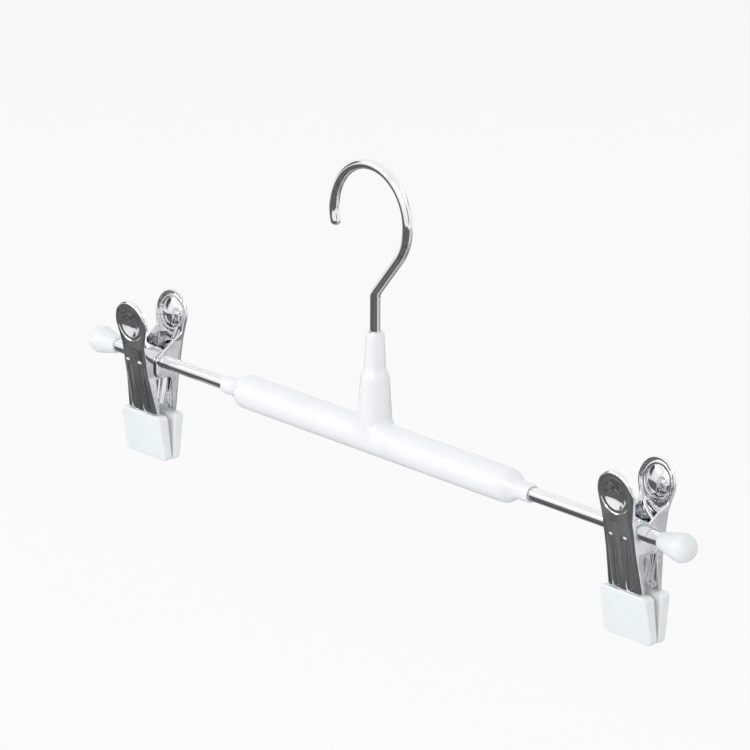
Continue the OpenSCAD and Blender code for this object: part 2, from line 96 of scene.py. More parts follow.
# Faces beyond the first are the arm's outside. Rim points beyond the second are at the hole's
# ends, and those beyond the third, and nearer the middle than the fourth, at its sides.
OUTSIDE_R, HOLE_END_X, HOLE_SIDE_Y, HOLE_SIDE_X = 5, 6, 5, 5
ARM_HALF = [
    (HOLE_HALF_LEN / 2, ARM_R), (HOLE_HALF_LEN, ARM_R), (13.5, ARM_R), (30, ARM_R), (66, ARM_R),
    (70.2, ARM_R), (71.6, 6.05), (74.8, 3.62), (76.3, 3.4), (79.5, 3.4), (82.1, 3.4), (82.5, 3.3),
    (82.5, 2.62), (82.1, ARM_BORE_R), (80.5, ARM_BORE_R), (60, ARM_BORE_R), (20, ARM_BORE_R)]
NECK = [
    (10.0, 6.08), (13.0, 5.9), (18.0, 5.6), (22.6, 5.3), (23.9, 5.18), (24.6, 4.85), (25.7, 4.2),
    (26.5, 3.95), (28.0, 3.87), (33.0, 3.63), (38.6, 3.37), (39.7, 3.28), (40.0, 3.08), (40.0, 2.2),
    (39.7, 1.96), (38.0, 1.96), (25.0, 1.96), (18.9, 1.96), (18.4, 1.96), (18.3, 2.4), (18.3, 3.0),
    (18.0, 3.2), (16.2, 3.2), (15.7, 3.0), (15.6, 1.5)]

# Clip jaws: "out" is the distance from the rod's axis towards a jaw's outside
SHEET = 0.8
BEND_OUT, BEND_Z, BEND_R = 9.85, 6.0, 12.0
JAW_SLOPE = (9.85 - 5.3) / (6.0 + 20.5)
LEVER_SLOPE = (12.1 - 9.85) / (15.7 + 8.7 - 6.0)
LEVER_R, LEVER_Z = 8.7, 15.7
CROWN = 0.28
RING_R, RING_WALL, RING_DEPTH = 7.15, 0.35, 0.3
DISH_R, DISH_WALL, DISH_BALL_R, DISH_BALL_SUNK = 6.25, 0.9, 10, 8.0
RIM_R = 1.0
RIM_DEPTH = 1.8
RIM_TURNS = (18, 36, 54, 72, 90)
OUTER_WAIST, INNER_WAIST = 7.3, 6.3
WAIST_TOP, WAIST_BOTTOM = 7.0, -5.5
JAW_HALF_W = 8.3
TIP_TOP_Z, TIP_BOTTOM_Z = -20.5, -38.5
TONGUE_Z = -36.0
EAR_REACH, EAR_OVER_Z, EAR_TOP_Z, ARCH_Z, ARCH_HALF = 4.0, 4.2, 9.5, -6.5, 3.5
EAR_CORNER, ARCH_CORNER, RIM_CORNER = 2.8, 1.6, 2.5
EAR_HOLE_R, EAR_DRILL_LEN = 2.58, 24
FLANGE_END_Z = -20.35
FLANGE_STRIPS, FLANGE_LEAST_LEN, FLANGE_FOOT_GAP = 5, 0.05, 0.15
LEG_DEPTH = 2.0
BEAD_X, BEAD_HALF_W, BEAD_RISE, BEAD_POWER = 3.4, 2.25, 0.6, 1.35
BEAD_TOP_Z, BEAD_FOOT_Z = -0.9, -18.4
SHEET_EDGE = 0.09

# Clip jaws, the net of the outer face: radii of the lever head's rings, the angles on them where
# the body's rows, the sides and the top begin, how many steps each has, and the share of the way
# to the first straight row that one step down a side covers
RING_RADII = [0.55, 1.1, 1.7, 2.3, 2.9, 3.5, 4.1, 4.6, 5.0, 5.3, 5.6, 5.85, 6.05, 6.25, 6.5, 6.75,
              6.9, 7.05, 7.2, 7.4]
ROWS_FROM, SIDE_FROM, TOP_FROM, OTHER_SIDE_FROM, ROUND_TO = -46, -134, -170, -370, -406
COLUMNS, SIDE_STEPS, TOP_STEPS, SPREAD_ROWS = 44, 10, 55, 9
SIDE_SHARE = 0.062
# How far apart the rows are, down to each height: closest beside the arch
ROW_STEPS = ((-3.4, 0.3), (-6.2, 0.2), (-8.4, 0.15), (-17.5, 0.5), (TIP_TOP_Z, 0.25),
             (TONGUE_Z - 1, 1.4))
ARCH_STEP = 0.12

# Soft tips: half width, and how far the inner and the outer face stand from the clip's middle
TIP_TOP_SIZE, TIP_FOOT_SIZE = (11.15, 1.6, 6.3), (12.0, 0.15, 3.35)
TIP_TOP_CORNER, TIP_FOOT_CORNER, TIP_EDGE = 1.6, 2.6, 0.8
POCKET_HALF_W, POCKET_PLAY, POCKET_SPARE, POCKET_INSET = 7.42, 0.2, 0.1, 0.5

# Springs: the wire, the coil round the rod, and the legs, whose ends stand at these heights on
# the jaws with the inner and the outer ears
SPRING_R = 3.75
SPRING_WIRE_R = 0.6
SPRING_PITCH = 1.7
SPRING_TURNS = 4.5
SPRING_STEPS = 200
INNER_LEG_Z, OUTER_LEG_Z = 8.0, 11.5
LEG_END_X = -4.6
LEG_GAP = 0.3
# Along a leg from the coil: where it starts to lean to its end, how softly, the places of its
# points, and the highest one's share of the leg's length
LEG_LIFT, LEG_EASE = 4.5, 0.8
LEG_LOW_POINTS = (LEG_LIFT + 1.2, LEG_LIFT, 2.5, 0.6)
LEG_HIGH_SHARE = 0.8

# Modelling tools


def take(obj):
    """Deselects everything, then selects the object and makes it active."""
    bpy.ops.object.select_all(action="DESELECT")
    bpy.context.view_layer.objects.active = obj
    obj.select_set(True)


def edit(obj):
    take(obj)
    bpy.ops.object.mode_set(mode="EDIT")


def leave():
    bpy.ops.object.mode_set(mode="OBJECT")


def link(obj):
    bpy.context.scene.collection.objects.link(obj)
    return obj


def settle(obj, name):
    """Puts the object at the origin with its place in its mesh, and names it."""
    take(obj)
    bpy.ops.object.transform_apply(location=True, rotation=True, scale=True)
    obj.name = obj.data.name = name
    return obj


def modify(obj, kind, **settings):
    take(obj)
    m = obj.modifiers.new(kind.title(), kind)
    for key, value in settings.items():
        setattr(m, key, value)
    bpy.ops.object.modifier_apply(modifier=m.name)


def smooth(obj, angle=None):
    take(obj)
    if angle is None:
        bpy.ops.object.shade_smooth()
    else:
        bpy.ops.object.shade_smooth_by_angle(angle=math.radians(angle))


def fine_normals(obj, angle=40):
    """Large faces keep their own direction, and the roundings between them carry the turn."""
    smooth(obj, angle)
    modify(obj, "WEIGHTED_NORMAL", mode="FACE_AREA", weight=50, keep_sharp=True)


def face_outwards():
    bpy.ops.mesh.select_all(action="SELECT")
    bpy.ops.mesh.normals_make_consistent(inside=False)


def pick(obj, test, kind="VERT"):
    """Selects what passes a test on its middle and itself, in an object in edit mode."""
    bpy.ops.mesh.select_mode(type=kind)
    bpy.ops.mesh.select_all(action="DESELECT")
    bm = bmesh.from_edit_mesh(obj.data)
    for p in {"VERT": bm.verts, "EDGE": bm.edges, "FACE": bm.faces}[kind]:
        if kind == "VERT":
            middle = p.co
        elif kind == "EDGE":
            middle = (p.verts[0].co + p.verts[1].co) / 2
        else:
            middle = p.calc_center_median()
        if test(middle, p):
            p.select_set(True)
    if kind == "VERT":
        bm.select_flush(True)
    bmesh.update_edit_mesh(obj.data)


def extrude(move):
    bpy.ops.mesh.extrude_region_move(TRANSFORM_OT_translate={"value": move})


def translate(move):
    bpy.ops.transform.translate(value=move)


def resize(value, centre):
    bpy.ops.transform.resize(value=value, center_override=centre)


def on_arc(centre, r, a):
    return centre[0] + r * math.cos(math.radians(a)), centre[1] + r * math.sin(math.radians(a))


def arc(centre, r, a, b, steps):
    return [on_arc(centre, r, a + (b - a) * i / steps) for i in range(steps + 1)]


def rounded(corners, steps):
    """An open outline: each entry is a corner and its radius, where 0 leaves it sharp."""
    out = []
    for i, (q, r) in enumerate(corners):
        if r == 0:
            out.append(q)
            continue
        p, s = Vector(corners[i - 1][0]), Vector(corners[i + 1][0])
        q = Vector(q)
        u, v = (p - q).normalized(), (s - q).normalized()
        half = math.acos(max(-1, min(1, u.dot(v)))) / 2
        m = (u + v).normalized()
        centre = q + m * r / math.sin(half)
        d, e = q + u * r / math.tan(half) - centre, q + v * r / math.tan(half) - centre
        a = math.atan2(d.y, d.x)
        turn = math.atan2(d.x * e.y - d.y * e.x, d.dot(e))
        out += arc(centre, r, math.degrees(a), math.degrees(a + turn), steps)
    return out


AXES = {"X": ((0, math.pi / 2, 0), 0), "Z": ((0, 0, 0), 2)}


def turned(name, stations, sides, axis, origin=(0, 0, 0), closed=False):
    """A turned form: a circle extruded from station to station, each a place on the axis and a
    radius."""
    turn, k = AXES[axis]

    def at(station):
        return tuple(origin[i] * MM + (station[0] * MM if i == k else 0) for i in range(3))

    first = stations[0]
    bpy.ops.mesh.primitive_circle_add(vertices=sides, radius=first[1] * MM, location=at(first),
                                      rotation=turn)
    obj = settle(bpy.context.object, name)
    edit(obj)
    bpy.ops.mesh.select_all(action="SELECT")
    for before, after in zip(stations, stations[1:]):
        step = [0, 0, 0]
        step[k] = (after[0] - before[0]) * MM
        extrude(step)
        grow = after[1] / before[1]
        if abs(grow - 1) > 1e-9:
            scale = [grow] * 3
            scale[k] = 1
            resize(scale, at(after))
    if closed:
        bpy.ops.mesh.edge_face_add()
        pick(obj, lambda c, v: v.is_boundary)
        bpy.ops.mesh.edge_face_add()
    face_outwards()
    leave()
    return obj


# Hook and rod


def make_hook():
    tilt = 90 - HOOK_SLOPE
    cx, cz = HOOK_CENTRE
    tx = cx + HOOK_R * math.cos(math.radians(tilt))
    tz = cz - HOOK_R * math.sin(math.radians(tilt))
    corner_z = tz - tx * math.tan(math.radians(HOOK_SLOPE))
    cut = HOOK_BEND_R * math.tan(math.radians(tilt / 2))
    top = corner_z - cut
    straight = math.hypot(tx, tz - corner_z) - cut
    x0, z0 = NECK_X, ROD_Z
    head = [(HEAD_Z + z, r) for z, r in HEAD] + [(top, WIRE_R)]
    obj = turned("hook_wire", head, WIRE_SIDES, "Z", (x0, 0, z0))
    edit(obj)
    pick(obj, lambda c, v: c.z > (z0 + top) * MM - 1e-6)
    bpy.ops.mesh.spin(steps=HOOK_BEND_STEPS, angle=-math.radians(tilt), axis=(0, 1, 0),
                      center=((x0 + HOOK_BEND_R) * MM, 0, (z0 + top) * MM))
    slope = math.radians(HOOK_SLOPE)
    extrude(Vector((math.cos(slope), 0, math.sin(slope))) * straight * MM)
    bpy.ops.mesh.spin(steps=HOOK_CURVE_STEPS, angle=math.radians(HOOK_END + tilt), axis=(0, 1, 0),
                      center=((x0 + cx) * MM, 0, (z0 + cz) * MM))
    # the free end, rounded to a dome
    end = math.radians(HOOK_END)
    heading = Vector((-math.sin(end), 0, math.cos(end)))
    tip = Vector((x0 + cx + HOOK_R * math.cos(end), 0, z0 + cz + HOOK_R * math.sin(end)))
    last = (0.0, 1.0)
    for step in range(1, DOME_STEPS + 1):
        q = math.radians(DOME_ANGLE * step / DOME_STEPS)
        now = (WIRE_R * math.sin(q), math.cos(q))
        extrude(heading * (now[0] - last[0]) * MM)
        resize([now[1] / last[1]] * 3, (tip + heading * now[0]) * MM)
        last = now
    bpy.ops.mesh.edge_face_add()
    pick(obj, lambda c, v: v.is_boundary)
    bpy.ops.mesh.edge_face_add()
    bpy.ops.mesh.select_all(action="SELECT")
    bpy.ops.mesh.remove_doubles(threshold=1e-7)
    face_outwards()
    leave()
    smooth(obj, 50)
    return obj


def make_rod():
    inside = ROD_R - ROD_EDGE
    turn = [math.radians(a) for a in ROD_EDGE_TURNS]
    end = [(-ROD_HALF, inside)] + [
        (-ROD_HALF + ROD_EDGE - ROD_EDGE * math.cos(a), inside + ROD_EDGE * math.sin(a))
        for a in turn]
    stations = end + [(-x, r) for x, r in reversed(end)]
    obj = turned("cross_rod_bar", stations, ROUND_SIDES, "X", (NECK_X, 0, ROD_Z), closed=True)
    fine_normals(obj)
    return obj


# Knobs


def make_knob(side, name):
    mouth_x = KNOB_END_X - KNOB_LEN
    ball_x = KNOB_END_X - KNOB_R
    bore_x = mouth_x + KNOB_BORE
    bore_r = ROD_R + KNOB_PLAY
    bore = [(bore_x, KNOB_BORE_END_R), (bore_x, bore_r - KNOB_EDGE),
            (bore_x - KNOB_EDGE, bore_r), (mouth_x + KNOB_EDGE, bore_r),
            (mouth_x, bore_r + KNOB_FLARE)]
    lip = arc((mouth_x + KNOB_EDGE, KNOB_MOUTH_R - KNOB_LIP_R), KNOB_LIP_R, 180, 90,
              KNOB_LIP_STEPS)
    # a straight cone that meets the ball without a step
    reach = ball_x - mouth_x
    touch = math.degrees(math.atan2(KNOB_MOUTH_R, -reach)
                         - math.acos(KNOB_R / math.hypot(reach, KNOB_MOUTH_R)))
    ball = arc((ball_x, 0), KNOB_R, touch, KNOB_POLE_ANGLE, KNOB_BALL_STEPS)
    start_x = mouth_x + KNOB_CONE_START
    cone = []
    for k in range(KNOB_CONE_STEPS):
        share = k / KNOB_CONE_STEPS
        rise = KNOB_CONE_FIRST_SHARE + (1 - KNOB_CONE_FIRST_SHARE) * share
        cone.append((start_x + (ball[0][0] - start_x) * share,
                     KNOB_MOUTH_R + (ball[0][1] - KNOB_MOUTH_R) * rise))
    stations = bore + lip + cone + ball
    obj = turned(name, [(side * x, r) for x, r in stations], ROUND_SIDES, "X",
                 (NECK_X, 0, ROD_Z), closed=True)
    smooth(obj, 60)
    return obj


# Sleeve


def make_sleeve():
    """An arm and a neck, bridged to each other and rounded by subdivision."""
    # subdivision draws a ring of points in, so the cage is made this much larger
    swell = 3 / (2 + math.cos(2 * math.pi / SLEEVE_SIDES))
    facet = 360 / SLEEVE_SIDES
    right = [(x, r * swell) for x, r in ARM_HALF]
    left = [(-x, r) for x, r in right[::-1]]
    # from the middle of the bore out to the left end, back along the outside and home
    # through the bore
    middle_bore, middle = (0.0, ARM_BORE_R * swell), (0.0, ARM_R * swell)
    obj = turned("sleeve_moulding", [middle_bore] + left + [middle] + right, SLEEVE_SIDES, "X")
    edit(obj)
    pick(obj, lambda c, v: v.is_boundary)
    bpy.ops.mesh.bridge_edge_loops()

    # the hole in the arm's top that the neck grows out of
    def on_top(c, f):
        return (abs(c.x) < HOLE_HALF_LEN * MM and math.hypot(c.y, c.z) > OUTSIDE_R * MM
                and math.atan2(abs(c.y), c.z) < math.radians(HOLE_HALF_ANGLE))

    pick(obj, on_top, "FACE")
    bpy.ops.mesh.delete(type="FACE")
    # its rim is drawn round, and out to the sides under the neck
    for k in range(1, HOLE_ROUND_STEPS + 1):
        pull = HOLE_ROUND_PULL * (k / HOLE_ROUND_STEPS) ** HOLE_ROUND_POWER
        for end in (-1, 1):
            pick(obj, lambda c, v: v.is_boundary and end * c.x > HOLE_END_X * MM and abs(
                abs(math.degrees(math.atan2(c.y, c.z))) - facet * k) < 1)
            translate((-end * pull * MM, 0, 0))
    for side in (-1, 1):
        pick(obj, lambda c, v: v.is_boundary and side * c.y > HOLE_SIDE_Y * MM
             and abs(c.x) < HOLE_SIDE_X * MM)
        translate((0, side * HOLE_SIDE_PULL * MM, 0))
    # the neck: a ring over the hole, drawn up from station to station and down the bore again
    bpy.ops.mesh.select_mode(type="VERT")
    bpy.ops.mesh.select_all(action="DESELECT")
    bpy.ops.mesh.primitive_circle_add(vertices=SLEEVE_SIDES, radius=NECK[0][1] * swell * MM,
                                      location=(0, 0, NECK[0][0] * MM))
    for before, after in zip(NECK, NECK[1:]):
        extrude((0, 0, (after[0] - before[0]) * MM))
        grow = after[1] / before[1]
        if abs(grow - 1) > 1e-9:
            resize((grow, grow, 1), (0, 0, after[0] * MM))
    bpy.ops.mesh.edge_face_add()
    pick(obj, lambda c, e: e.is_boundary, "EDGE")
    bpy.ops.mesh.bridge_edge_loops(number_cuts=3, interpolation="SURFACE", smoothness=1.0)
    face_outwards()
    translate((NECK_X * MM, 0, ROD_Z * MM))
    leave()
    modify(obj, "SUBSURF", levels=2, render_levels=2)
    smooth(obj)
    return obj


# Clip jaws


def jaw_out(z):
    """How far a jaw's outer face stands from the rod's axis at a height."""
    tangent = BEND_R * (JAW_SLOPE - LEVER_SLOPE) / 2
    if z > BEND_Z + tangent:
        return BEND_OUT + (z - BEND_Z) * LEVER_SLOPE
    if z < BEND_Z - tangent:
        return BEND_OUT + (z - BEND_Z) * JAW_SLOPE
    t = (z - BEND_Z + tangent) / (2 * tangent)
    slope = JAW_SLOPE + (LEVER_SLOPE - JAW_SLOPE) * t / 2
    return BEND_OUT - tangent * JAW_SLOPE + t * 2 * tangent * slope


def step_between(t):
    t = max(0.0, min(1.0, t))
    return t * t * (3 - 2 * t)


def pressed(x, z):
    """How far the press moved the outer face at a place, out of the clip."""
    r = math.hypot(x, z - LEVER_Z)
    move = -CROWN * (x / LEVER_R) ** 2 - RING_DEPTH * step_between((RING_R - r) / RING_WALL)
    if r < DISH_R:
        dish = math.sqrt(DISH_BALL_R ** 2 - r * r) - DISH_BALL_SUNK
        share = step_between((DISH_R - r) / DISH_WALL)
        move = -max(RING_DEPTH, RING_DEPTH + (dish - RING_DEPTH) * share)
    for side in (-1, 1):
        past_end = max(z - BEAD_TOP_Z, 0, BEAD_FOOT_Z - z)
        d = math.hypot(x - side * BEAD_X, past_end) / BEAD_HALF_W
        if d < 1:
            move += BEAD_RISE * (1 - d ** 2) ** BEAD_POWER
    return move


def flange_edge():
    """The free edge of a jaw's flange seen from the side, from the foot up: distance from the
    rod's axis, height."""
    top_z = LEVER_Z + LEVER_R + 1
    rim = jaw_out(EAR_TOP_Z) - RIM_DEPTH
    slope = (EAR_TOP_Z - EAR_OVER_Z) / rim
    return rounded([((jaw_out(FLANGE_END_Z) - LEG_DEPTH, FLANGE_END_Z), 0),
                    ((ARCH_HALF, ARCH_Z), ARCH_CORNER),
                    ((-EAR_REACH, ARCH_Z), EAR_CORNER),
                    ((-EAR_REACH, EAR_OVER_Z - EAR_REACH * slope), EAR_CORNER),
                    ((rim, EAR_TOP_Z), RIM_CORNER),
                    ((jaw_out(top_z) - RIM_DEPTH, top_z), 0)], 10)


def edge_at(z, edge):
    """Where a flange ends at a height, as the distance from the rod's axis: negative past it."""
    for (y0, z0), (y1, z1) in zip(edge, edge[1:]):
        if z0 <= z <= z1 and z1 - z0 > 1e-6:
            return y0 + (y1 - y0) * (z - z0) / (z1 - z0)
    return edge[0][0] if z < edge[0][1] else edge[-1][0]


def web_rows(waist):
    """Rows of the web below the lever head: height and half width, drawn in by the rim's
    radius."""
    w = waist - RIM_R
    foot = JAW_HALF_W - RIM_R
    rows = []
    z = WAIST_TOP
    while z > TONGUE_Z - 0.01:
        if z > WAIST_BOTTOM:
            half = w
        elif z > TIP_TOP_Z:
            half = w + (foot - w) * (WAIST_BOTTOM - z) / (WAIST_BOTTOM - TIP_TOP_Z)
        else:
            half = foot
        rows.append((z, half))
        beside_arch = abs(z - ARCH_Z) < ARCH_STEP
        z -= ARCH_STEP if beside_arch else next(step for low, step in ROW_STEPS if z > low)
    return rows


def build_web(bm, waist):
    """The outer face of a jaw without its rim. Returns its border's vertices, from the left
    side's foot up over the head and down the right side."""

    def vertex(x, z):
        return bm.verts.new((x, -(jaw_out(z) + pressed(x, z)), z))

    def spaced(start, end, steps):
        return [start + (end - start) * i / steps for i in range(steps)]

    # lever head: rings from the middle out, starting at the right-hand end of the rows
    arc_steps = COLUMNS - 2
    angles = (spaced(ROWS_FROM, SIDE_FROM, arc_steps) + spaced(SIDE_FROM, TOP_FROM, SIDE_STEPS)
              + spaced(TOP_FROM, OTHER_SIDE_FROM, TOP_STEPS)
              + spaced(OTHER_SIDE_FROM, ROUND_TO, SIDE_STEPS))
    centre = vertex(0, LEVER_Z)
    rings = [[vertex(*on_arc((0, LEVER_Z), r, a)) for a in angles] for r in RING_RADII]
    n = len(angles)
    for i in range(n):
        bm.faces.new((centre, rings[0][(i + 1) % n], rings[0][i]))
        for inner, outer in zip(rings, rings[1:]):
            bm.faces.new((inner[i], inner[(i + 1) % n], outer[(i + 1) % n], outer[i]))
    # the head's edge: round the top from the left to the right, then down both sides to where
    # the rows start
    rows = web_rows(waist)
    first_z, first_w = rows[0]
    top = [vertex(*on_arc((0, LEVER_Z), LEVER_R - RIM_R, a))
           for a in spaced(TOP_FROM, OTHER_SIDE_FROM, TOP_STEPS) + [OTHER_SIDE_FROM]]

    def side(start, to_x):
        x, z = start.co.x, start.co.z
        shares = [SIDE_SHARE * j for j in range(1, SIDE_STEPS + 1)]
        return [start] + [vertex(x + (to_x - x) * s, z + (first_z - z) * s) for s in shares]

    left, right = side(top[0], -first_w), side(top[-1], first_w)
    ring = rings[-1] + rings[-1][:1]
    top_start = arc_steps + SIDE_STEPS
    for i, (a, b) in enumerate(zip(top, top[1:]), top_start):
        bm.faces.new((ring[i], ring[i + 1], b, a))
    for j in range(SIDE_STEPS):
        i, k = top_start - j, n - SIDE_STEPS + j
        bm.faces.new((ring[i], left[j], left[j + 1], ring[i - 1]))
        bm.faces.new((ring[k], ring[k + 1], right[j + 1], right[j]))
    # body: rows that unroll the lower arc into straight lines
    arc_row = [right[-1]] + ring[:arc_steps + 1] + [left[-1]]
    across = [1 - 2 * i / COLUMNS for i in range(COLUMNS + 1)]
    body = [arc_row]
    for k in range(1, SPREAD_ROWS + 1):
        t = k / SPREAD_ROWS
        body.append([vertex(v.co.x + (first_w * share - v.co.x) * t,
                            v.co.z + (first_z - v.co.z) * t) for v, share in zip(arc_row, across)])
    for z, half in rows[1:]:
        body.append([vertex(half * share, z) for share in across])
    for above, below in zip(body, body[1:]):
        for i in range(COLUMNS):
            bm.faces.new((above[i + 1], above[i], below[i], below[i + 1]))
    flanged = [row for row in body if row[0].co.z >= TIP_TOP_Z + FLANGE_FOOT_GAP]
    return ([row[-1] for row in reversed(flanged)] + left[-2:0:-1] + top + right[1:-1]
            + [row[0] for row in flanged])


def build_flanges(bm, border):
    """The rolled rim along a jaw's border, and the flanges and ears that it turns into."""
    flats = [Vector((v.co.x, v.co.z)) for v in border]
    normals = []
    for i in range(len(border)):
        d = (flats[min(i + 1, len(flats) - 1)] - flats[max(i - 1, 0)]).normalized()
        normals.append(Vector((-d.y, d.x)))
    normals[0] = normals[1]
    normals[-1] = normals[-2]
    edge = flange_edge()
    lines = []
    for v, p, m in zip(border, flats, normals):
        base = v.co.y
        line = [v]
        for q in RIM_TURNS:
            s, c = math.sin(math.radians(q)), math.cos(math.radians(q))
            flat = p + m * RIM_R * s
            line.append(bm.verts.new((flat.x, base + RIM_R * (1 - c), flat.y)))
        flat = p + m * RIM_R
        near = base + RIM_R
        far = max(-edge_at(flat.y, edge), near + FLANGE_LEAST_LEN)
        for k in range(1, FLANGE_STRIPS + 1):
            y = near + (far - near) * k / FLANGE_STRIPS
            line.append(bm.verts.new((flat.x, y, flat.y)))
        lines.append(line)
    for one, two in zip(lines, lines[1:]):
        for k in range(len(one) - 1):
            bm.faces.new((one[k], two[k], two[k + 1], one[k + 1]))


def make_jaw(waist, name):
    """A pressed jaw in front of the rod, its outside towards -Y: the outer face first, then the
    sheet's thickness and the rod's hole."""
    bm = bmesh.new()
    build_flanges(bm, build_web(bm, waist))
    mesh = bpy.data.meshes.new(name)
    bm.to_mesh(mesh)
    bm.free()
    obj = link(bpy.data.objects.new(name, mesh))
    edit(obj)
    bpy.ops.mesh.select_all(action="SELECT")
    resize((MM, MM, MM), (0, 0, 0))
    face_outwards()
    leave()
    # on an open shell "outwards" is a guess, so the dish says which way it went
    dish = Vector((0, -0.01, LEVER_Z * MM))
    if min(obj.data.polygons, key=lambda f: (f.center - dish).length).normal.y > 0:
        edit(obj)
        bpy.ops.mesh.select_all(action="SELECT")
        bpy.ops.mesh.flip_normals()
        leave()
    modify(obj, "SOLIDIFY", thickness=SHEET * MM, offset=-1, use_even_offset=False)
    modify(obj, "BEVEL", width=SHEET_EDGE * MM, segments=2, limit_method="ANGLE",
           angle_limit=math.radians(55), use_clamp_overlap=False)
    # the rod's hole through both ears
    bpy.ops.mesh.primitive_cylinder_add(vertices=ROUND_SIDES, radius=EAR_HOLE_R * MM,
                                        depth=EAR_DRILL_LEN * MM, rotation=(0, math.pi / 2, 0))
    drill = bpy.context.object
    modify(obj, "BOOLEAN", operation="DIFFERENCE", object=drill, solver="EXACT")
    bpy.data.objects.remove(drill)
    smooth(obj, 50)
    return obj


# Soft tips


def runs_back(edge):
    a, b = (v.co for v in edge.verts)
    return abs(a.z - b.z) < 1e-5 and abs(a.x - b.x) < 1e-5


def make_tip(name):
    """A soft tip for a jaw in front of the rod: a block, drawn wider and thinner at its foot."""
    top, foot = TIP_TOP_Z * MM, TIP_BOTTOM_Z * MM
    bpy.ops.mesh.primitive_cube_add(size=1, location=(0, 0, 0))
    obj = settle(bpy.context.object, name)
    edit(obj)
    for end, z, (half, inner, outer) in ((1, top, TIP_TOP_SIZE), (-1, foot, TIP_FOOT_SIZE)):
        pick(obj, lambda c, v: end * c.z > 0.1)
        resize((2 * half * MM, (outer - inner) * MM, 1), (0, 0, 0))
        translate((0, -(inner + outer) / 2 * MM, z - end * 0.5))
    face_outwards()
    # round the four corners of the front view, the feet most
    for end, r in ((1, TIP_TOP_CORNER), (-1, TIP_FOOT_CORNER)):
        pick(obj, lambda c, e: end * (c.z - (top + foot) / 2) > 0 and runs_back(e), "EDGE")
        bpy.ops.mesh.bevel(offset=r * MM, segments=8, affect="EDGES")
    leave()
    modify(obj, "BEVEL", width=TIP_EDGE * MM, segments=5, limit_method="ANGLE",
           angle_limit=math.radians(60), use_clamp_overlap=False)
    edit(obj)
    # the pocket that the jaw's end sits in: the top face set in, drawn to the pocket's mouth
    # and pushed down
    face_outwards()
    pick(obj, lambda c, f: abs(c.z - top) < 1e-6 and f.calc_area() > 2e-5, "FACE")
    bpy.ops.mesh.inset(thickness=POCKET_INSET * MM)
    bm = bmesh.from_edit_mesh(obj.data)
    mouth = [v.co.copy() for f in bm.faces if f.select for v in f.verts]
    low = [min(c[i] for c in mouth) for i in range(3)]
    high = [max(c[i] for c in mouth) for i in range(3)]
    middle = [(p + q) / 2 for p, q in zip(low, high)]
    y = -(jaw_out(TIP_TOP_Z) - SHEET / 2) * MM
    resize((2 * POCKET_HALF_W * MM / (high[0] - low[0]),
            (SHEET + POCKET_PLAY) * MM / (high[1] - low[1]), 1), middle)
    translate((0, y - middle[1], 0))
    extrude((0, -(jaw_out(TONGUE_Z) - SHEET / 2) * MM - y,
             (TONGUE_Z - POCKET_SPARE - TIP_TOP_Z) * MM))
    leave()
    fine_normals(obj)
    return obj


# Springs


def leg_out(z):
    return jaw_out(z) - SHEET - SPRING_WIRE_R - LEG_GAP


def leg_angle(z):
    return math.atan2(z, leg_out(z)) - math.acos(SPRING_R / math.hypot(leg_out(z), z))


def spring_leg(z, x):
    """A leg of the spring from its end down to the coil's end at x, as points in the clip."""
    a = leg_angle(z)
    touch = Vector((SPRING_R * math.cos(a), SPRING_R * math.sin(a)))
    run = Vector((leg_out(z), z)) - touch
    along = run.normalized()
    points = []
    for q in (run.length, run.length * LEG_HIGH_SHARE, *LEG_LOW_POINTS):
        p = touch + along * q
        share = step_between((q - LEG_LIFT + LEG_EASE) / (run.length - LEG_LIFT + LEG_EASE))
        points.append((x + (LEG_END_X - x) * share, p.x, p.y))
    return points


def make_wire(name, points):
    """A round wire along points, as a mesh."""
    curve = bpy.data.curves.new(name, "CURVE")
    curve.dimensions = "3D"
    spline = curve.splines.new("POLY")
    spline.points.add(len(points) - 1)
    for p, co in zip(spline.points, points):
        p.co = (co[0] * MM, co[1] * MM, co[2] * MM, 1)
    curve.bevel_depth = SPRING_WIRE_R * MM
    curve.bevel_resolution = 3
    curve.use_fill_caps = True
    take(link(bpy.data.objects.new(name, curve)))
    bpy.ops.object.convert(target="MESH")
    obj = bpy.context.object
    edit(obj)
    bpy.ops.mesh.select_all(action="SELECT")
    bpy.ops.mesh.remove_doubles(threshold=1e-7)
    face_outwards()
    leave()
    smooth(obj, 50)
    return obj


def make_spring():
    """The coil, its two legs (the back one on the inner-eared jaw, the front one on the
    outer-eared jaw) and the coil's length."""
    sweep = (360 * SPRING_TURNS + math.degrees(leg_angle(INNER_LEG_Z))
             + math.degrees(leg_angle(OUTER_LEG_Z)))
    length = SPRING_PITCH * sweep / 360
    coil = []
    for i in range(SPRING_STEPS + 1):
        a = leg_angle(INNER_LEG_Z) - math.radians(sweep) * i / SPRING_STEPS
        coil.append((length / 2 - length * i / SPRING_STEPS,
                     SPRING_R * math.cos(a), SPRING_R * math.sin(a)))
    back = spring_leg(INNER_LEG_Z, length / 2) + [coil[0]]
    front = [(x, -y, z) for x, y, z in spring_leg(OUTER_LEG_Z, -length / 2)] + [coil[-1]]
    return (make_wire("spring_coil", coil), make_wire("spring_back_leg", back),
            make_wire("spring_front_leg", front), length)


# Places


def copied(obj, name, turn, x):
    """A copy with its own mesh, turned about the upright axis and put on the rod at x."""
    mesh = obj.data.copy()
    mesh.transform(Matrix.Translation((x * MM, 0, ROD_Z * MM)) @ turn)
    if turn.determinant() < 0:
        mesh.flip_normals()
    mesh.name = name
    return link(bpy.data.objects.new(name, mesh))


PLAIN = Matrix.Identity(4)
TURNED = Matrix.Rotation(math.pi, 4, "Z")
OTHER_WAY = Matrix.Scale(-1, 4, (0, 1, 0))

hook = make_hook()
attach(hook, "hook")
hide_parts("hook")

rod = make_rod()
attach(rod, "bar")
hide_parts("cross_rod")

